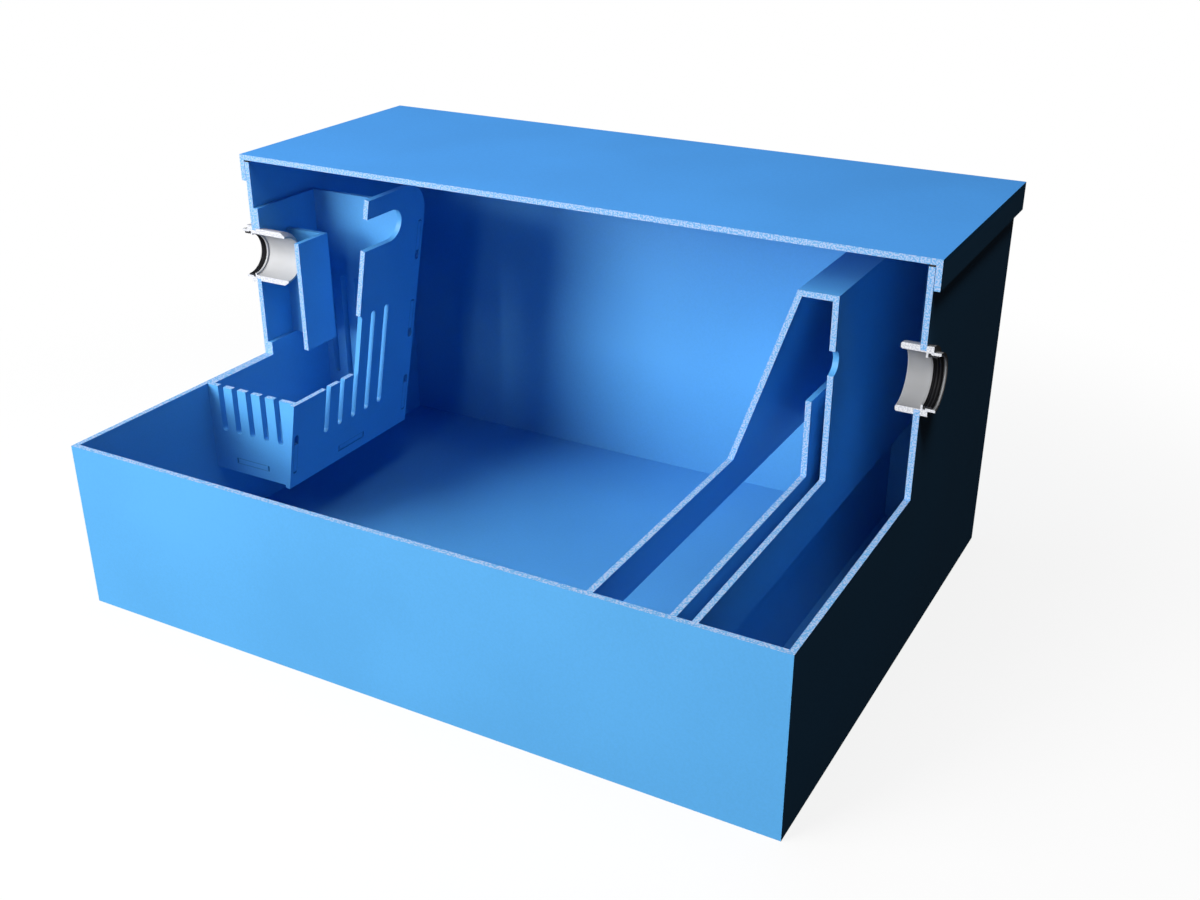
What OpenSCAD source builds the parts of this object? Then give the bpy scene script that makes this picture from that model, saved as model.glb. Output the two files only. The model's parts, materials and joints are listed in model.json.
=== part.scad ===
// Grease trap of welded plastic sheet, sectioned for display.
// The front half is sawn off down to a set depth, on the plane of the pipe axes,
// so that the basket, the baffles and the pipe sockets show from inside.
// Origin: centre of the tank's underside. +X runs with the flow, +Y to the back, +Z up.

/* [Tank] */
// Outside length, from the inlet wall to the outlet wall
tank_length = 800; // [700:10:1000]
// Outside width, front to back
tank_width = 600; // [400:10:800]
// Height of the walls above the ground
tank_height = 420; // [390:5:460]
// Thickness of the sheet that the tank, lid, baffles and basket are made of
sheet = 6; // [4:0.5:8]
// Height of the part that is sawn off, down from the top of the walls
section_height = 232.5; // [225:0.5:260]

/* [Lid] */
// Height from the lower edge of the rim to the top of the lid
lid_height = 30; // [20:1:50]
// Gap between the rim and the tank walls
lid_clearance = 0.5; // [0.3:0.1:2]
// Thickness of the gasket that the lid rests on
gasket_thickness = 2; // [1:0.5:4]
// Distance of the gasket's edges from the faces of the wall under it
gasket_inset = 0.5; // [0.2:0.1:1]

/* [Pipe sockets] */
// Depth of the pipe axes below the top of the walls
pipe_drop = 109; // [100:1:120]
// Outside diameter of the drain pipe that plugs in
pipe_diameter = 50; // [40:1:54]
// Radial room between the pipe and the lip of the socket
lip_room = 1.5; // [1.2:0.1:2.5]
// Wall thickness of the lip
lip_wall = 2.8; // [2:0.1:4]
// Length of the lip beyond the flange
lip_length = 7.2; // [6:0.1:12]
// Bevel at the mouth of the lip
lip_bevel = 0.8; // [0.4:0.1:1.5]
// Width of the flange around the lip
flange_width = 5.3; // [4:0.1:10]
// Thickness of the flange
flange_thickness = 7; // [6:0.1:10]
// Height of the stop that the pipe's end meets
stop_height = 1.6; // [1:0.1:3]
// Thickness of the stop
stop_thickness = 2; // [1:0.1:3]
// Radial room between the neck of a socket and its hole in the wall
neck_play = 0.1; // [0.05:0.05:0.3]

/* [Seals] */
// Length of the rubber sleeve inside the lip
seal_length = 9; // [8:0.1:11]
// How far the ribs of the seal press into the space of the pipe
seal_squeeze = 1; // [0.4:0.1:1.4]
// Height of the ribs
rib_height = 0.9; // [0.4:0.1:1.2]
// Number of ribs
rib_count = 3; // [2:1:5]
// Width of the groove that holds the seal
groove_width = 2.6; // [1.5:0.1:4]
// Depth of the groove
groove_depth = 1.3; // [0.6:0.1:1.8]
// Gap between the seal and the socket
seal_play = 0.05; // [0.02:0.01:0.1]

/* [Pipe stubs] */
// Wall thickness of the inlet socket's neck, inside the tank wall
inlet_neck_wall = 3.9; // [2:0.1:4.5]
// Wall thickness of the inlet stub
inlet_stub_wall = 6.4; // [5:0.1:8]
// Length of the inlet stub inside the tank
inlet_stub_length = 42; // [30:1:52]
// Length of the bevel around the inner end of the inlet stub
inlet_bevel_length = 6; // [3:0.5:10]
// Height of that bevel
inlet_bevel_height = 4.4; // [2:0.1:4.8]
// Wall thickness of the outlet socket's neck, inside the tank wall
outlet_neck_wall = 1.1; // [0.8:0.1:3]
// Wall thickness of the outlet stub
outlet_stub_wall = 6.2; // [5:0.1:8]
// Length of the outlet stub inside the tank
outlet_stub_length = 18; // [10:1:40]
// Bevel on the inner end of the outlet stub
outlet_bevel = 1.2; // [0.4:0.1:2]

/* [Baffles] */
// Clear length of the outlet chamber, from its baffle to the outlet wall
outlet_chamber = 80; // [70:1:120]
// Clear width of the rising channel between the weir and the outlet baffle
channel_width = 14; // [10:1:30]
// Depth of the weir's crest below the pipe axes
weir_drop = 43; // [30:1:70]
// Height of the gap under the outlet baffle
outlet_gap = 129; // [100:1:145]
// Depth of the hood's top below the top of the walls
hood_drop = 41.5; // [30:0.5:60]
// Length of the hood's top
hood_length = 41; // [34:1:60]
// Lean of the sloped baffle from the vertical, in degrees
baffle_lean = 18.5; // [10:0.5:25]
// Height of the gap under the sloped baffle
baffle_gap = 112; // [80:1:135]
// Diameter of the vent hole in the outlet baffle
vent_diameter = 25; // [15:1:40]

/* [Basket] */
// Clear width between the side panels
basket_width = 200; // [150:5:260]
// Clear depth at the foot, from the back panel to the front panel
basket_depth = 100; // [80:1:140]
// Depth of the foot below the pipe axes
basket_drop = 229; // [200:1:250]
// Height of the back and side panels above the pipe axes
basket_rise = 56; // [45:1:80]
// Height of the front panel above the pipe axes
front_rise = 87; // [75:1:100]
// Lean of the front panel from the vertical, in degrees
front_lean = 10; // [4:0.5:15]
// How far the front panel reaches past the side panels
front_overhang = 4.5; // [2:0.5:12]
// Radius of the front panel's upper corners
front_corner = 40; // [15:1:45]
// Height of the basket's floor above the foot
floor_rise = 12; // [10:1:30]
// Room between the inlet stub and the arch that hangs on it
hanger_play = 0.2; // [0.1:0.05:0.5]

/* [Handle] */
// Length of the handle slot
handle_length = 131; // [100:1:140]
// Height of the handle slot
handle_height = 38; // [25:1:45]
// Width of the strip above the handle slot
handle_strip = 22; // [15:1:30]

/* [Slits] */
// Width of the strainer slits
slit_width = 8; // [4:0.5:10]
// Length of the slits
slit_length = 131; // [100:1:150]
// Height of the slits' lower end above the foot
slit_foot = 50; // [40:1:70]
// Number of slits in the front panel
front_slits = 5; // [1:2:7]
// Spacing of the slits in the front panel
front_slit_pitch = 25; // [16:0.5:28]
// Spacing of the slits in the side panels
side_slit_pitch = 20.5; // [14:0.5:30]
// Least land between a slit and the edge of a side panel
slit_land = 8; // [5:0.5:15]

/* [Tabs] */
// Number of tabs on each side panel
tab_count = 3; // [2:1:3]
// Length of the tabs on the side panels
tab_length = 36; // [24:1:42]
// Length of the slots that take them
tab_slot = 50; // [46:0.5:54]
// Distance of the lowest slot from the foot of the front panel
tab_foot = 18; // [14:0.5:30]
// Distance of the highest slot from the head of the side panels
tab_head = 16.5; // [10:0.5:30]
// Length of the tabs on the basket's floor
floor_tab = 44; // [30:1:60]
// Length that their slots have to spare at each end
floor_tab_room = 2; // [0.5:0.5:4]
// Gap between a tab and the sides of its slot
tab_play = 0.25; // [0.1:0.05:0.5]

/* [Deflector] */
// Clear width between the side plates
deflector_width = 92; // [76:1:120]
// Clear depth from the back panel to the front plate
deflector_depth = 50; // [48:1:62]
// Height of the upper edge above the pipe axes
deflector_rise = 22; // [5:1:40]
// Depth of the lower edge below the pipe axes
deflector_drop = 108; // [80:1:112]

/* [Hidden] */
$fn = 96;

// Colours
sheet_blue = [0.33, 0.64, 0.95];
fitting_white = [0.91, 0.91, 0.92];
rubber_black = [0.06, 0.06, 0.07];

// Reach of the cutting solids past the part
beyond = tank_length + tank_width;

// Tank
half_length = tank_length / 2;
half_width = tank_width / 2;
inlet_face = -half_length + sheet;
outlet_face = half_length - sheet;
inner_half_width = half_width - sheet;
floor_top = sheet;
section_z = tank_height - section_height;

// Lid
lid_underside = tank_height + gasket_thickness;
lid_top = lid_underside + sheet;
lid_rim_foot = lid_top - lid_height;
lid_half_length = half_length + lid_clearance + sheet;
lid_half_width = half_width + lid_clearance + sheet;

// Pipe sockets, as radii and as lengths outwards from the tank's outer face
pipe_axis = tank_height - pipe_drop;
pipe_radius = pipe_diameter / 2;
lip_bore = pipe_radius + lip_room;
lip_radius = lip_bore + lip_wall;
flange_radius = lip_radius + flange_width;
stop_radius = pipe_radius - stop_height;
lip_end = flange_thickness + lip_length;
groove_end = stop_thickness + groove_width;
groove_radius = lip_bore + groove_depth;
wall_hole_radius = lip_radius + neck_play;

// Seals
rib_tip = pipe_radius - seal_squeeze;
rib_root = rib_tip + rib_height;
seal_start = stop_thickness + seal_play;
rib_pitch = seal_length / rib_count;

// Pipe stubs
inlet_bore = lip_radius - inlet_neck_wall;
inlet_radius = inlet_bore + inlet_stub_wall;
outlet_bore = lip_radius - outlet_neck_wall;
outlet_radius = outlet_bore + outlet_stub_wall;

// Baffles
outlet_baffle_x = outlet_face - outlet_chamber - sheet;
weir_x = outlet_baffle_x - channel_width - sheet;
weir_crest = pipe_axis - weir_drop;
hood_crown = tank_height - hood_drop;
hood_underside = hood_crown - sheet;
hood_end = outlet_baffle_x + sheet;
hood_start = hood_end - hood_length;
sloped_thickness = sheet / cos(baffle_lean);
sloped_foot = floor_top + baffle_gap;

// Basket
basket_back = inlet_face + sheet;
basket_foot = pipe_axis - basket_drop;
basket_height = basket_drop + basket_rise;
front_foot = basket_back + basket_depth;
front_height = (basket_drop + front_rise) / cos(front_lean);
side_outer = basket_width / 2 + sheet;
front_half_width = side_outer + front_overhang;
basket_floor_z = basket_foot + floor_rise;
handle_foot = front_height - handle_strip - handle_height;
floor_tab_x = basket_back + basket_depth / 2;
floor_tab_slot = floor_tab + 2 * floor_tab_room;
side_row = basket_depth + slit_foot * tan(front_lean);
side_row_centre = basket_back + side_row / 2;
side_slits = floor((side_row - slit_width - 2 * slit_land) / side_slit_pitch) + 1;

// Tabs in their round-ended slots
tab_slot_width = sheet + 2 * tab_play;
tab_slot_radius = tab_slot_width / 2;
tab_end = tab_slot_radius - sqrt(pow(tab_slot_radius, 2) - pow(sheet / 2, 2)) + tab_play;
tab_slack = tab_slot - tab_length - 2 * tab_end;
tab_root = sheet;
tab_reach = basket_height / cos(front_lean) - tab_head - tab_slot - tab_foot;
tab_pitch = tab_reach / (tab_count - 1);

// Deflector
deflector_foot = pipe_axis - deflector_drop;
deflector_top = pipe_axis + deflector_rise;
deflector_outer = deflector_width / 2 + sheet;
deflector_front_x = basket_back + deflector_depth;

// Left face of the sloped baffle at a height
function sloped_x(z) = hood_start - (hood_crown - z) * tan(baffle_lean);

// Inner face of the basket's front panel at a height
function front_x(z) = front_foot + (z - basket_foot) * tan(front_lean);

// Takes away the front half above the section height
module sectioned() {
    difference() {
        children();
        translate([-beyond, -beyond, section_z])
            cube([2 * beyond, beyond, beyond]);
    }
}

// Sheet across the tank, drawn in Y and Z, from x towards +X
module cross_sheet(x) {
    translate([x, 0, 0])
        rotate([90, 0, 90])
            linear_extrude(sheet)
                children();
}

// Sheet along the tank, drawn in X and Z, from y towards +Y
module long_sheet(y) {
    translate([0, y + sheet, 0])
        rotate([90, 0, 0])
            linear_extrude(sheet)
                children();
}

// Section drawn in X and Z that runs the given distance to the front and to the back
module along_y(half_span) {
    translate([0, half_span, 0])
        rotate([90, 0, 0])
            linear_extrude(2 * half_span)
                children();
}

// Rectangle from the lower corner to the upper corner
module area(low, high) {
    translate(low)
        square(high - low);
}

// Upright slot with round ends that stands on its lower end
module upright_slot(length, width) {
    radius = width / 2;
    translate([-radius, radius])
        square([width, length - width]);
    for (end = [radius, length - radius])
        translate([0, end])
            circle(r = radius);
}

// Lying slot with round ends, centred on its lower edge
module lying_slot(length, height) {
    translate([-length / 2, height / 2])
        rotate(-90)
            upright_slot(length, height);
}

// Ring turned about a pipe axis, sectioned; its outline is given as radius and distance from x,
// and the distance counts towards +X on side 1 and towards -X on side -1
module turned(x, side, outline) {
    sectioned()
        translate([x, 0, pipe_axis])
            rotate([0, 90 * side, 0])
                rotate_extrude()
                    polygon(outline);
}

// Outline of a tank wall, from the ground to its top
module tank_wall_area(half_span) {
    area([-half_span, 0], [half_span, tank_height]);
}

module tank_floor() {
    color(sheet_blue)
        translate([inlet_face, -inner_half_width, 0])
            cube([outlet_face - inlet_face, 2 * inner_half_width, sheet]);
}

module tank_front_wall() {
    color(sheet_blue)
        sectioned()
            long_sheet(-half_width)
                tank_wall_area(half_length);
}

module tank_back_wall() {
    color(sheet_blue)
        long_sheet(inner_half_width)
            tank_wall_area(half_length);
}

// End wall with the hole for a socket
module end_wall(x) {
    sectioned()
        cross_sheet(x)
            difference() {
                tank_wall_area(inner_half_width);
                translate([0, pipe_axis])
                    circle(r = wall_hole_radius);
            }
}

module tank_inlet_wall() {
    color(sheet_blue)
        end_wall(-half_length);
}

module tank_outlet_wall() {
    color(sheet_blue)
        end_wall(outlet_face);
}

module lid_panel() {
    color(sheet_blue)
        sectioned()
            translate([-lid_half_length, -lid_half_width, lid_underside])
                cube([2 * lid_half_length, 2 * lid_half_width, sheet]);
}

// Rim strip along an end of the lid
module lid_end_rim(x) {
    sectioned()
        cross_sheet(x)
            area([-lid_half_width, lid_rim_foot], [lid_half_width, lid_underside]);
}

module lid_inlet_rim() {
    color(sheet_blue)
        lid_end_rim(-lid_half_length);
}

module lid_outlet_rim() {
    color(sheet_blue)
        lid_end_rim(lid_half_length - sheet);
}

module lid_back_rim() {
    rim_half_length = lid_half_length - sheet;
    color(sheet_blue)
        long_sheet(lid_half_width - sheet)
            area([-rim_half_length, lid_rim_foot], [rim_half_length, lid_underside]);
}

// Strip on top of the walls, under the lid
module lid_gasket() {
    outer = [half_length - gasket_inset, half_width - gasket_inset];
    inner = [outlet_face + gasket_inset, inner_half_width + gasket_inset];
    color(rubber_black)
        sectioned()
            translate([0, 0, tank_height])
                linear_extrude(gasket_thickness)
                    difference() {
                        area(-outer, outer);
                        area(-inner, inner);
                    }
}

module sloped_baffle() {
    foot_x = sloped_x(sloped_foot);
    head_x = sloped_x(hood_underside);
    color(sheet_blue)
        sectioned()
            along_y(inner_half_width)
                polygon([
                    [foot_x, sloped_foot],
                    [foot_x + sloped_thickness, sloped_foot],
                    [head_x + sloped_thickness, hood_underside],
                    [head_x, hood_underside]
                ]);
}

module hood_top() {
    color(sheet_blue)
        sectioned()
            along_y(inner_half_width)
                polygon([
                    [sloped_x(hood_underside), hood_underside],
                    [hood_end, hood_underside],
                    [hood_end, hood_crown],
                    [hood_start, hood_crown]
                ]);
}

module weir_plate() {
    color(sheet_blue)
        sectioned()
            cross_sheet(weir_x)
                area([-inner_half_width, floor_top], [inner_half_width, weir_crest]);
}

module outlet_baffle() {
    color(sheet_blue)
        sectioned()
            cross_sheet(outlet_baffle_x)
                difference() {
                    area([-inner_half_width, floor_top + outlet_gap], [inner_half_width, hood_underside]);
                    translate([0, pipe_axis])
                        circle(d = vent_diameter);
                }
}

// Back panel, with an arch that hangs on the inlet stub and an opening behind the deflector
module basket_back_panel() {
    opening = deflector_width / 2;
    color(sheet_blue)
        sectioned()
            cross_sheet(inlet_face)
                difference() {
                    area([-side_outer, basket_foot], [side_outer, basket_foot + basket_height]);
                    area([-opening, deflector_foot], [opening, pipe_axis]);
                    translate([0, pipe_axis])
                        circle(r = inlet_radius + hanger_play);
                }
}

// Front panel's outline, drawn flat on its own foot
module front_outline() {
    shoulder = front_height - front_corner;
    corner_y = front_half_width - front_corner;
    area([-front_half_width, 0], [front_half_width, shoulder]);
    area([-corner_y, shoulder], [corner_y, front_height]);
    for (side = [-1, 1])
        translate([side * corner_y, shoulder])
            circle(r = front_corner);
}

// Strainer slits of the front panel
module front_slit_row() {
    for (i = [0 : front_slits - 1])
        translate([(i - (front_slits - 1) / 2) * front_slit_pitch, slit_foot])
            upright_slot(slit_length, slit_width);
}

// Slots that take the tabs of the side panels and of the floor
module front_tab_slots() {
    floor_slot_foot = floor_rise / cos(front_lean) - tab_play;
    floor_slot_height = sheet / cos(front_lean) + sheet * tan(front_lean) + 2 * tab_play;
    for (side = [-1, 1], i = [0 : tab_count - 1])
        translate([side * (side_outer - sheet / 2), tab_foot + i * tab_pitch])
            upright_slot(tab_slot, tab_slot_width);
    translate([-floor_tab_slot / 2, floor_slot_foot])
        square([floor_tab_slot, floor_slot_height]);
}

module basket_front_panel() {
    color(sheet_blue)
        sectioned()
            translate([front_foot, 0, basket_foot])
                rotate([0, front_lean, 0])
                    cross_sheet(0)
                        difference() {
                            front_outline();
                            front_slit_row();
                            front_tab_slots();
                            translate([0, handle_foot])
                                lying_slot(handle_length, handle_height);
                        }
}

// Side panel's outline in X and Z, up to the inner face of the front panel
module side_outline() {
    head = basket_foot + basket_height;
    polygon([
        [basket_back, basket_foot],
        [front_foot, basket_foot],
        [front_x(head), head],
        [basket_back, head]
    ]);
}

// Tabs on the leaning edge; the lowest stands at the foot of its slot, the others at the head
module side_tabs() {
    translate([front_foot, basket_foot])
        rotate(-front_lean)
            for (i = [0 : tab_count - 1])
                translate([-tab_root, tab_foot + i * tab_pitch + tab_end + (i == 0 ? 0 : tab_slack)])
                    square([tab_root + sheet, tab_length]);
}

// Strainer slits of a side panel
module side_slit_row() {
    for (i = [0 : side_slits - 1])
        translate([
            side_row_centre + (i - (side_slits - 1) / 2) * side_slit_pitch,
            basket_foot + slit_foot
        ])
            upright_slot(slit_length, slit_width);
}

module basket_side(y) {
    sectioned()
        long_sheet(y)
            difference() {
                union() {
                    side_outline();
                    side_tabs();
                }
                side_slit_row();
                translate([floor_tab_x - floor_tab_slot / 2, basket_floor_z - tab_play])
                    square([floor_tab_slot, tab_slot_width]);
            }
}

module basket_near_side() {
    color(sheet_blue)
        basket_side(-side_outer);
}

module basket_far_side() {
    color(sheet_blue)
        basket_side(side_outer - sheet);
}

// Floor plate, with tabs through both side panels and through the front panel
module basket_floor() {
    head = basket_floor_z + sheet;
    front_edge = [front_x(basket_floor_z), front_x(head)];
    through = sheet / cos(front_lean);
    color(sheet_blue)
        sectioned() {
            along_y(basket_width / 2)
                polygon([
                    [basket_back, basket_floor_z],
                    [front_edge[0], basket_floor_z],
                    [front_edge[1], head],
                    [basket_back, head]
                ]);
            along_y(floor_tab / 2)
                polygon([
                    [floor_tab_x, basket_floor_z],
                    [front_edge[0] + through, basket_floor_z],
                    [front_edge[1] + through, head],
                    [floor_tab_x, head]
                ]);
            along_y(side_outer)
                area([floor_tab_x - floor_tab / 2, basket_floor_z], [floor_tab_x + floor_tab / 2, head]);
        }
}

module deflector_front() {
    color(sheet_blue)
        sectioned()
            cross_sheet(deflector_front_x)
                area([-deflector_outer, deflector_foot], [deflector_outer, deflector_top]);
}

// Side plate at the back of the deflector; its twin goes with the part that is sawn off
module deflector_side() {
    color(sheet_blue)
        long_sheet(deflector_outer - sheet)
            area([basket_back, deflector_foot], [deflector_front_x, deflector_top]);
}

// Socket outside the tank: neck through the wall, flange, stop, groove for the seal and lip
module socket(x, side, neck_bore) {
    turned(x, side, [
        [neck_bore, -sheet],
        [lip_radius, -sheet],
        [lip_radius, 0],
        [flange_radius, 0],
        [flange_radius, flange_thickness],
        [lip_radius, flange_thickness],
        [lip_radius, lip_end],
        [lip_bore + lip_bevel, lip_end],
        [lip_bore, lip_end - lip_bevel],
        [lip_bore, groove_end],
        [groove_radius, groove_end],
        [groove_radius, stop_thickness],
        [stop_radius, stop_thickness],
        [stop_radius, 0],
        [neck_bore, 0]
    ]);
}

// Rubber sleeve with a bead in the groove and ribs that grip the pipe
module seal(x, side) {
    bead_radius = groove_radius - seal_play;
    bead_end = groove_end - seal_play;
    sleeve_radius = lip_bore - seal_play;
    turned(x, side, concat(
        [
            [bead_radius, seal_start],
            [bead_radius, bead_end],
            [sleeve_radius, bead_end],
            [sleeve_radius, seal_start + seal_length],
            [rib_root, seal_start + seal_length]
        ],
        [
            for (i = [rib_count - 1 : -1 : 0], tip = [true, false])
                [tip ? rib_tip : rib_root, seal_start + (i + (tip ? 0.5 : 0)) * rib_pitch]
        ]
    ));
}

module inlet_socket() {
    color(fitting_white)
        socket(-half_length, -1, inlet_bore);
}

module outlet_socket() {
    color(fitting_white)
        socket(half_length, 1, outlet_bore);
}

module inlet_seal() {
    color(rubber_black)
        seal(-half_length, -1);
}

module outlet_seal() {
    color(rubber_black)
        seal(half_length, 1);
}

module inlet_stub() {
    color(fitting_white)
        turned(inlet_face, 1, [
            [inlet_bore, 0],
            [inlet_radius, 0],
            [inlet_radius, inlet_stub_length - inlet_bevel_length],
            [inlet_radius - inlet_bevel_height, inlet_stub_length],
            [inlet_bore, inlet_stub_length]
        ]);
}

module outlet_stub() {
    color(fitting_white)
        turned(outlet_face, -1, [
            [outlet_bore, 0],
            [outlet_radius, 0],
            [outlet_radius, outlet_stub_length - outlet_bevel],
            [outlet_radius - outlet_bevel, outlet_stub_length],
            [outlet_bore + outlet_bevel, outlet_stub_length],
            [outlet_bore, outlet_stub_length - outlet_bevel]
        ]);
}

tank_floor();
tank_front_wall();
tank_back_wall();
tank_inlet_wall();
tank_outlet_wall();
lid_panel();
lid_inlet_rim();
lid_outlet_rim();
lid_back_rim();
lid_gasket();
sloped_baffle();
hood_top();
weir_plate();
outlet_baffle();
basket_back_panel();
basket_front_panel();
basket_near_side();
basket_far_side();
basket_floor();
deflector_front();
deflector_side();
inlet_socket();
inlet_stub();
inlet_seal();
outlet_socket();
outlet_stub();
outlet_seal();
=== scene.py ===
"""Cutaway grease trap of blue plastic sheet: finishes, floor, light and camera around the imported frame."""

import json
import math

import bmesh
import bpy
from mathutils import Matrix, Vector


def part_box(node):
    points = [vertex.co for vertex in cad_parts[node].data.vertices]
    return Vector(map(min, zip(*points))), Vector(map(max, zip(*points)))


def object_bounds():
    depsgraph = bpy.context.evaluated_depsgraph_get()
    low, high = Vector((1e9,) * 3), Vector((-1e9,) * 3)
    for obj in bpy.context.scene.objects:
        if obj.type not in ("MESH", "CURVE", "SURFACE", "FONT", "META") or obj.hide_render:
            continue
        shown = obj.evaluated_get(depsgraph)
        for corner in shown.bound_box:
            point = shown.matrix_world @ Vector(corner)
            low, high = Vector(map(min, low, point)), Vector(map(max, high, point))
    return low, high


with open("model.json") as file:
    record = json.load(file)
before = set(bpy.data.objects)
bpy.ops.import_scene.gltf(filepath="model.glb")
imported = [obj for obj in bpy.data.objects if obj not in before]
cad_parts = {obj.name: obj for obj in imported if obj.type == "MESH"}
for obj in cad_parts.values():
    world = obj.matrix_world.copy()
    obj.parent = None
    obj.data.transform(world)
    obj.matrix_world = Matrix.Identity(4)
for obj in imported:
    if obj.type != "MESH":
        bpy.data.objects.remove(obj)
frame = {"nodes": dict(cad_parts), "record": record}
cad_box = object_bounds()

MM = 0.001

# Camera of the photograph: place in metres, angles in degrees, lens and sensor width in mm
CAMERA_PLACE = (0.705123, -1.173378, 0.801923)
CAMERA_AZIMUTH = 28.762
CAMERA_ELEVATION = 25.516
CAMERA_LENS = 41.523
CAMERA_SENSOR = 36.0

# Colours, linear
WHITE = (1.0, 1.0, 1.0)
SHEET_BLUE = (0.096, 0.378, 0.750)
# Painted cool shade: a deeper blue for the lid's upper face, standing in for the light that falls on it
LID_TOP_PAINTED_SHADE = (0.064, 0.311, 0.775)
JOINT_BLUE = (0.010, 0.050, 0.130)
SAWN_BLUE = (0.125, 0.380, 0.710)
SAWN_GLINT = (0.400, 0.525, 0.760)
FITTING_WHITE = (0.460, 0.463, 0.472)
FITTING_GREY = (0.290, 0.293, 0.300)
SAWN_WHITE = (0.540, 0.555, 0.600)
SAWN_WHITE_GLINT = (0.740, 0.745, 0.760)
RUBBER_BLACK = (0.004, 0.004, 0.005)
SAWN_RUBBER = (0.045, 0.045, 0.050)

# Planes on which the part is sawn, and how near to a plane a point counts as on it
SECTION_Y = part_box("lid_panel")[0].y
SECTION_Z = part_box("tank_front_wall")[1].z
PLANE_NEAR = 0.05 * MM
# Crumbs of a sawn face: their size, the noise values where they turn from dull to glint, and their height
CRUMB_SIZE = 1.7 * MM
CRUMB_DULL = 0.42
CRUMB_GLINT = 0.58
CRUMB_HEIGHT = 3.0

# Height of the lid's upper face, which gets a deeper blue: painted cool shade standing in for the light that
# falls on it
LID_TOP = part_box("lid_panel")[1].z

# Noise values between which most of a noise lies, and the depth of a finish's grain
NOISE_LOW = 0.3
NOISE_HIGH = 0.7
GRAIN_DEPTH = 0.1 * MM

# Sheet: sizes of its drift of tone, mottle and grain, the shares of drift and mottle in the tone, and how far
# the tone darkens and lightens it
SHEET_DRIFT = 180 * MM
SHEET_MOTTLE = 2.2 * MM
SHEET_GRAIN = 0.9 * MM
DRIFT_SHARE = 0.6
MOTTLE_SHARE = 0.4
SHEET_DARKEST = 0.95
SHEET_LIGHTEST = 1.05
SHEET_ROUGHNESS = 0.40
LID_ROUGHNESS = 0.62
SHEET_SAWN_ROUGHNESS = 0.75
SHEET_GLOSS = 0.30
SHEET_BUMP = 0.12

# Fittings: sizes of their drift of tone and grain
FITTING_DRIFT = 25 * MM
FITTING_GRAIN = 0.7 * MM
FITTING_DARKEST = 0.96
FITTING_LIGHTEST = 1.03
FITTING_ROUGHNESS = 0.46
FITTING_SAWN_ROUGHER = 0.30
FITTING_GLOSS = 0.25
FITTING_BUMP = 0.08

# How much the drift of tone roughens sheet and fittings
DRIFT_ROUGHER = 0.08

# Rubber: sizes of its dust and grain, noise values between which dust appears, and how much dust lightens and
# roughens it
RUBBER_DUST = 2.5 * MM
RUBBER_GRAIN = 0.4 * MM
DUST_LOW = 0.35
DUST_HIGH = 0.75
DUST_LIGHTER = 1.8
DUST_ROUGHER = 0.2
RUBBER_ROUGHNESS = 0.50
RUBBER_GLOSS = 0.22
RUBBER_BUMP = 0.15

# Basket: foot of the front panel's inner face as x and z, the panel's lean, and where the outer faces begin
BASKET_FOOT = (-288 * MM, 82 * MM)
BASKET_LEAN = math.radians(10)
PANEL_OUTER = 5.5 * MM
SIDE_OUTER = 105.5 * MM
# Slots for the side panels' tabs: distance from the middle, middles along the panel, half width and length
TAB_SLOT_Y = 103 * MM
TAB_SLOT_MIDDLES = (43.0 * MM, 145.4 * MM, 247.9 * MM)
TAB_SLOT_HALF = (3.25 * MM, 25 * MM)
# Slots for the basket floor's tabs: middle and half size, on the front panel and on the side panels
FRONT_FLOOR_SLOT = ((0.0, 15.8 * MM), (24 * MM, 3.8 * MM))
SIDE_FLOOR_SLOT = ((-338 * MM, 97 * MM), (24 * MM, 3.25 * MM))
# Shadow lines round the tabs: how far from the edge they are full and gone, and how dark they are
LINE_FULL = 0.15 * MM
LINE_GONE = 0.55 * MM
LINE_SHARE = 0.38


class Field:
    """A value that changes over a surface: a socket, with the operators that shape it."""

    def __init__(self, finish, socket):
        self.finish = finish
        self.socket = socket

    def math(self, operation, *values):
        """Math node on up to three values."""
        return self.finish.node("ShaderNodeMath", {"operation": operation}, dict(enumerate(values)))

    def __add__(self, other):
        return self.math("ADD", self, other)

    __radd__ = __add__

    def __sub__(self, other):
        return self.math("SUBTRACT", self, other)

    def __rsub__(self, other):
        return self.math("SUBTRACT", other, self)

    def __mul__(self, other):
        return self.math("MULTIPLY", self, other)

    __rmul__ = __mul__

    def __lt__(self, other):
        return self.math("LESS_THAN", self, other)

    def __gt__(self, other):
        return self.math("GREATER_THAN", self, other)

    def __abs__(self):
        return self.math("ABSOLUTE", self)

    def root(self):
        return self.math("SQRT", self)

    def either(self, other):
        """The larger of two values, so that a mask holds where either holds."""
        return self.math("MAXIMUM", self, other)

    def spread(self, low, high):
        """Stretches low to high over 0 to 1, with soft ends."""
        return self.finish.node(
            "ShaderNodeMapRange",
            {"interpolation_type": "SMOOTHSTEP"},
            {"Value": self, "From Min": low, "From Max": high},
        )


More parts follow.
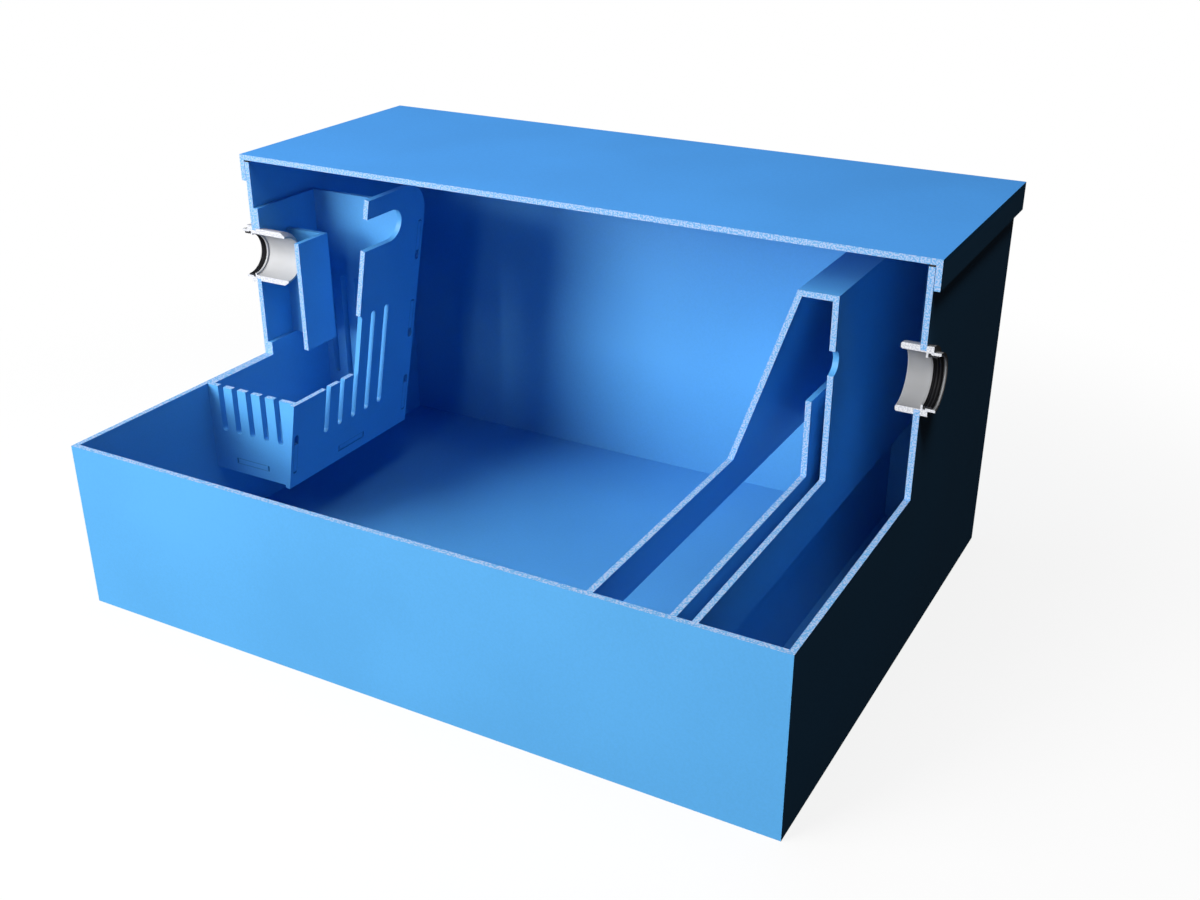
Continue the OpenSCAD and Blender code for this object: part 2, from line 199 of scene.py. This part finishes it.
class Finish:
    """The nodes of a material or of the world, written as expressions."""

    # Sockets of a Mix node that mixes colours
    MIX_FACTOR = 0
    MIX_FIRST = 6
    MIX_SECOND = 7
    MIX_RESULT = 2

    def __init__(self, owner):
        self.owner = owner
        owner.use_nodes = True
        self.tree = owner.node_tree
        self.tree.nodes.clear()

    def node(self, kind, settings=None, inputs=None, output=0):
        """Adds a node, sets it, feeds its sockets with values or fields and gives one of its outputs."""
        node = self.tree.nodes.new(kind)
        for name, value in (settings or {}).items():
            setattr(node, name, value)
        for name, value in (inputs or {}).items():
            socket = node.inputs[name]
            if isinstance(value, Field):
                self.tree.links.new(value.socket, socket)
            else:
                socket.default_value = value
        return Field(self, node.outputs[output]) if node.outputs else None

    def place(self):
        """Coordinates of the piece, in metres."""
        return self.node("ShaderNodeTexCoord", output="Object")

    def axes(self):
        """X, Y and Z of the coordinates."""
        split = self.node("ShaderNodeSeparateXYZ", inputs={"Vector": self.place()}).socket.node
        return [Field(self, socket) for socket in split.outputs]

    def ray(self, kind):
        """1 for light paths of one kind."""
        return self.node("ShaderNodeLightPath", output=kind)

    def noise(self, size, detail=2.0, roughness=0.5):
        """Noise from 0 to 1 with grains of about the given size, in metres."""
        return self.node(
            "ShaderNodeTexNoise",
            {"noise_dimensions": "3D"},
            {"Vector": self.place(), "Scale": 1 / size, "Detail": detail, "Roughness": roughness},
        )

    def mix(self, factor, first, second):
        """Colour between two colours."""
        return self.node(
            "ShaderNodeMix",
            {"data_type": "RGBA"},
            {self.MIX_FACTOR: factor, self.MIX_FIRST: first, self.MIX_SECOND: second},
            output=self.MIX_RESULT,
        )

    def bump(self, height, strength):
        """Normal that follows a height."""
        return self.node(
            "ShaderNodeBump",
            inputs={"Height": height, "Strength": strength, "Distance": GRAIN_DEPTH},
        )

    def surface(self, sockets):
        """Principled surface with the given sockets, as the material's output."""
        return self.output(self.node("ShaderNodeBsdfPrincipled", inputs=sockets))

    def output(self, shader):
        """Ends the material in this shader."""
        self.node("ShaderNodeOutputMaterial", inputs={"Surface": shader})
        return self.owner


def new_finish(name):
    return Finish(bpy.data.materials.new(name))


def rgba(colour, factor=1.0):
    return (*[channel * factor for channel in colour], 1.0)


def grey(level):
    return rgba(WHITE, level)


def sawn_mask(finish):
    """1 on the upright cut and on the level cut, 0 elsewhere."""
    x, y, z = finish.axes()
    upright = (abs(y - SECTION_Y) < PLANE_NEAR) * (z > SECTION_Z - PLANE_NEAR)
    level = (abs(z - SECTION_Z) < PLANE_NEAR) * (y < SECTION_Y + PLANE_NEAR)
    return upright.either(level)


def sawn_grain(finish):
    """Coarse sparkle of a sawn plastic face, from 0 to 1."""
    crumbs = finish.noise(CRUMB_SIZE, detail=1.0)
    return crumbs.spread(CRUMB_DULL, CRUMB_GLINT)


def line(edge):
    """1 where the distance from an edge is nearly 0."""
    return 1 - abs(edge).spread(LINE_FULL, LINE_GONE)


def square_slot_line(across, along, slot):
    """1 on the outline of a square-ended slot."""
    middle, half = slot
    edge = (abs(across - middle[0]) - half[0]).either(abs(along - middle[1]) - half[1])
    return line(edge)


def round_slot_line(across, along, half):
    """1 on the outline of a round-ended slot that lies around 0."""
    radius, half_length = half
    past_straight = (abs(along) - (half_length - radius)).either(0.0)
    edge = (across * across + past_straight * past_straight).root() - radius
    return line(edge)


def joint_lines(finish):
    """Shadow lines where the basket's tabs sit in their slots, on the outer faces."""
    x, y, z = finish.axes()
    ahead = x - BASKET_FOOT[0]
    rise = z - BASKET_FOOT[1]
    along = ahead * math.sin(BASKET_LEAN) + rise * math.cos(BASKET_LEAN)
    depth = ahead * math.cos(BASKET_LEAN) - rise * math.sin(BASKET_LEAN)
    on_front = square_slot_line(y, along, FRONT_FLOOR_SLOT)
    for middle in TAB_SLOT_MIDDLES:
        tab_line = round_slot_line(abs(y) - TAB_SLOT_Y, along - middle, TAB_SLOT_HALF)
        on_front = on_front.either(tab_line)
    on_side = square_slot_line(x, z, SIDE_FLOOR_SLOT)
    return (on_front * (depth > PANEL_OUTER)).either(on_side * (abs(y) > SIDE_OUTER))


def sheet_tone(finish, tone, colour):
    """The sheet's colour, a little darker or lighter with the tone."""
    return finish.mix(tone, rgba(colour, SHEET_DARKEST), rgba(colour, SHEET_LIGHTEST))


def sheet_finish(name, roughness=SHEET_ROUGHNESS, joints=False, lid=False):
    """Satin blue sheet with a slow drift of tone and a fine grain, pale and sparkling where it is sawn, and
    with lid set a deeper blue painted on the upper face as cool shade.
    """
    finish = new_finish(name)
    drift = finish.noise(SHEET_DRIFT)
    mottle = finish.noise(SHEET_MOTTLE)
    grain = finish.noise(SHEET_GRAIN)
    sawn = sawn_mask(finish)
    sparkle = sawn_grain(finish)
    tone = (DRIFT_SHARE * drift + MOTTLE_SHARE * mottle).spread(NOISE_LOW, NOISE_HIGH)
    blue = sheet_tone(finish, tone, SHEET_BLUE)
    if joints:
        blue = finish.mix(LINE_SHARE * joint_lines(finish), blue, rgba(JOINT_BLUE))
    # On the lid, painted cool shade: its upper face gets a deeper blue that stands in for the light falling
    # on it
    if lid:
        x, y, z = finish.axes()
        blue = finish.mix(z > LID_TOP - PLANE_NEAR, blue, sheet_tone(finish, tone, LID_TOP_PAINTED_SHADE))
    pale = finish.mix(sparkle, rgba(SAWN_BLUE), rgba(SAWN_GLINT))
    return finish.surface({
        "Base Color": finish.mix(sawn, blue, pale),
        "Roughness": (roughness + DRIFT_ROUGHER * drift).either(SHEET_SAWN_ROUGHNESS * sawn),
        "Specular IOR Level": SHEET_GLOSS,
        "Normal": finish.bump(grain + CRUMB_HEIGHT * sawn * sparkle, SHEET_BUMP),
    })


def fitting_finish(name, colour):
    """Satin moulded fitting, paler and grainy where it is sawn."""
    finish = new_finish(name)
    drift = finish.noise(FITTING_DRIFT)
    grain = finish.noise(FITTING_GRAIN)
    sawn = sawn_mask(finish)
    sparkle = sawn_grain(finish)
    darkest = rgba(colour, FITTING_DARKEST)
    lightest = rgba(colour, FITTING_LIGHTEST)
    moulded = finish.mix(drift.spread(NOISE_LOW, NOISE_HIGH), darkest, lightest)
    pale = finish.mix(sparkle, rgba(SAWN_WHITE), rgba(SAWN_WHITE_GLINT))
    return finish.surface({
        "Base Color": finish.mix(sawn, moulded, pale),
        "Roughness": FITTING_ROUGHNESS + DRIFT_ROUGHER * drift + FITTING_SAWN_ROUGHER * sawn,
        "Specular IOR Level": FITTING_GLOSS,
        "Normal": finish.bump(grain + CRUMB_HEIGHT * sawn * sparkle, FITTING_BUMP),
    })


def rubber_finish():
    """Black rubber, dull, a little greyer where it is sawn."""
    finish = new_finish("black_rubber")
    dust = finish.noise(RUBBER_DUST, detail=4.0, roughness=0.6)
    grain = finish.noise(RUBBER_GRAIN)
    sawn = sawn_mask(finish)
    dusty = rgba(RUBBER_BLACK, DUST_LIGHTER)
    black = finish.mix(dust.spread(DUST_LOW, DUST_HIGH), rgba(RUBBER_BLACK), dusty)
    return finish.surface({
        "Base Color": finish.mix(sawn * dust, black, rgba(SAWN_RUBBER)),
        "Roughness": RUBBER_ROUGHNESS + DUST_ROUGHER * dust,
        "Specular IOR Level": RUBBER_GLOSS,
        "Normal": finish.bump(grain, RUBBER_BUMP),
    })


def dress_nodes():
    """Gives each solid the finish of its slot, or its own one."""
    finishes = {
        "sheet": sheet_finish("blue_sheet"),
        "fitting": fitting_finish("white_fitting", FITTING_WHITE),
        "rubber": rubber_finish(),
    }
    # The lid's sheet carries the painted cool shade on its upper face
    lid_sheet = sheet_finish("blue_lid_sheet", roughness=LID_ROUGHNESS, lid=True)
    basket_sheet = sheet_finish("blue_basket_sheet", joints=True)
    grey_fitting = fitting_finish("grey_fitting", FITTING_GREY)
    own_finishes = {
        "lid_panel": lid_sheet,
        "outlet_socket": grey_fitting,
        "outlet_stub": grey_fitting,
    }
    for part in frame["record"]["subparts"]:
        name = part["node"]
        finish = own_finishes.get(name, finishes[part["material_slot"]])
        if name.startswith("basket_"):
            finish = basket_sheet
        solid = frame["nodes"][name]
        solid.data.materials.clear()
        solid.data.materials.append(finish)


# Floor: half its size in metres, what it bounces, what the camera sees of it, the share that shows plain
# white, and the share of white that gloss shows
FLOOR_HALF = 30.0
FLOOR_BOUNCE = 0.002
FLOOR_PALE = 0.85
FLOOR_WHITE_SHARE = 0.88
FLOOR_GLOSS_SHARE = 0.015
# Distances from the middle of the object, in metres, between which the floor turns wholly white
FLOOR_NEAR = 0.5
FLOOR_FAR = 1.2


def floor_finish():
    """Pale floor that shows white, with the object's shadow left on it as a faint tone."""
    finish = new_finish("pale_floor")
    x, y, z = finish.axes()
    away = (x * x + y * y).spread(FLOOR_NEAR ** 2, FLOOR_FAR ** 2)
    share = FLOOR_WHITE_SHARE + (1 - FLOOR_WHITE_SHARE) * away
    shown = finish.ray("Is Camera Ray").either(finish.ray("Is Transmission Ray"))
    tone = finish.mix(shown, grey(FLOOR_BOUNCE), grey(FLOOR_PALE))
    matt = finish.node("ShaderNodeBsdfDiffuse", inputs={"Color": tone})
    white = finish.node("ShaderNodeEmission", inputs={"Color": rgba(WHITE), "Strength": 1.0})
    white_part = (shown * share).either(FLOOR_GLOSS_SHARE * finish.ray("Is Glossy Ray"))
    return finish.output(finish.node("ShaderNodeMixShader", inputs={0: white_part, 1: matt, 2: white}))


def make_floor():
    mesh = bpy.data.meshes.new("floor")
    shape = bmesh.new()
    bmesh.ops.create_grid(shape, x_segments=1, y_segments=1, size=FLOOR_HALF)
    bmesh.ops.translate(shape, verts=shape.verts, vec=(0, 0, cad_box[0].z))
    shape.to_mesh(mesh)
    shape.free()
    floor = bpy.data.objects.new("floor", mesh)
    bpy.context.scene.collection.objects.link(floor)
    mesh.materials.append(floor_finish())


# Even light from all round, and how much of the white background the satin surfaces reflect
AMBIENT = 0.002
GLOSS_SHARE = 0.08


def make_world():
    """White behind the object, a share of it in the gloss, and a weak even light from all round."""
    world = bpy.data.worlds.new("studio")
    bpy.context.scene.world = world
    sky = Finish(world)
    shown = sky.ray("Is Camera Ray").either(sky.ray("Is Transmission Ray"))
    white = shown.either(GLOSS_SHARE * sky.ray("Is Glossy Ray"))
    strength = AMBIENT + (1 - AMBIENT) * white
    background = sky.node("ShaderNodeBackground", inputs={"Color": rgba(WHITE), "Strength": strength})
    sky.node("ShaderNodeOutputWorld", inputs={"Surface": background})


# Lamps: direction from the object in degrees (azimuth 0 is the front, 90 the outlet end), distance and size
# in metres, and level
LAMPS = {
    "key": dict(azimuth=-29, elevation=12, distance=4.0, size=(1.75, 1.25), level=0.695),
    "left": dict(azimuth=-39, elevation=33, distance=4.0, size=(2.90, 2.00), level=0.92),
    "top": dict(azimuth=-68, elevation=82, distance=1.9, size=(1.20, 1.20), level=0.44),
    "edge": dict(azimuth=40, elevation=59.5, distance=3.8, size=(0.62, 0.62), level=0.078),
    "fill": dict(azimuth=7, elevation=19, distance=2.4, size=(0.30, 1.20), level=0.068),
    "back": dict(azimuth=-172, elevation=2, distance=3.0, size=(1.40, 0.24), level=0.45),
}
# Point that the lamps face, in metres
LIT_CENTRE = Vector((0, 0, 0.2))


def towards(azimuth, elevation):
    """Unit vector from the object to a place at these angles."""
    turn = math.radians(azimuth)
    lift = math.radians(elevation)
    return Vector((math.sin(turn) * math.cos(lift), -math.cos(turn) * math.cos(lift), math.sin(lift)))


def softbox(name, azimuth, elevation, distance, size, level):
    """Soft lamp that faces the object; at level 1 a colour that faces it renders as it is written."""
    data = bpy.data.lights.new(name, "AREA")
    data.shape = "RECTANGLE"
    data.size, data.size_y = size
    data.energy = level * math.pi ** 2 * distance ** 2
    lamp = bpy.data.objects.new(name, data)
    bpy.context.scene.collection.objects.link(lamp)
    direction = towards(azimuth, elevation)
    lamp.location = LIT_CENTRE + direction * distance
    lamp.rotation_euler = direction.to_track_quat("Z", "Y").to_euler()
    lamp.visible_camera = False


def make_light():
    for name, lamp in LAMPS.items():
        softbox(name, **lamp)


def make_camera():
    data = bpy.data.cameras.new("camera")
    data.sensor_fit = "HORIZONTAL"
    data.sensor_width = CAMERA_SENSOR
    data.lens = CAMERA_LENS
    camera = bpy.data.objects.new("camera", data)
    bpy.context.scene.collection.objects.link(camera)
    camera.location = CAMERA_PLACE
    camera.rotation_euler = (math.radians(90 - CAMERA_ELEVATION), 0, math.radians(CAMERA_AZIMUTH))
    bpy.context.scene.camera = camera


bpy.context.scene.view_settings.view_transform = "Standard"
make_camera()
dress_nodes()
make_floor()
make_world()
make_light()
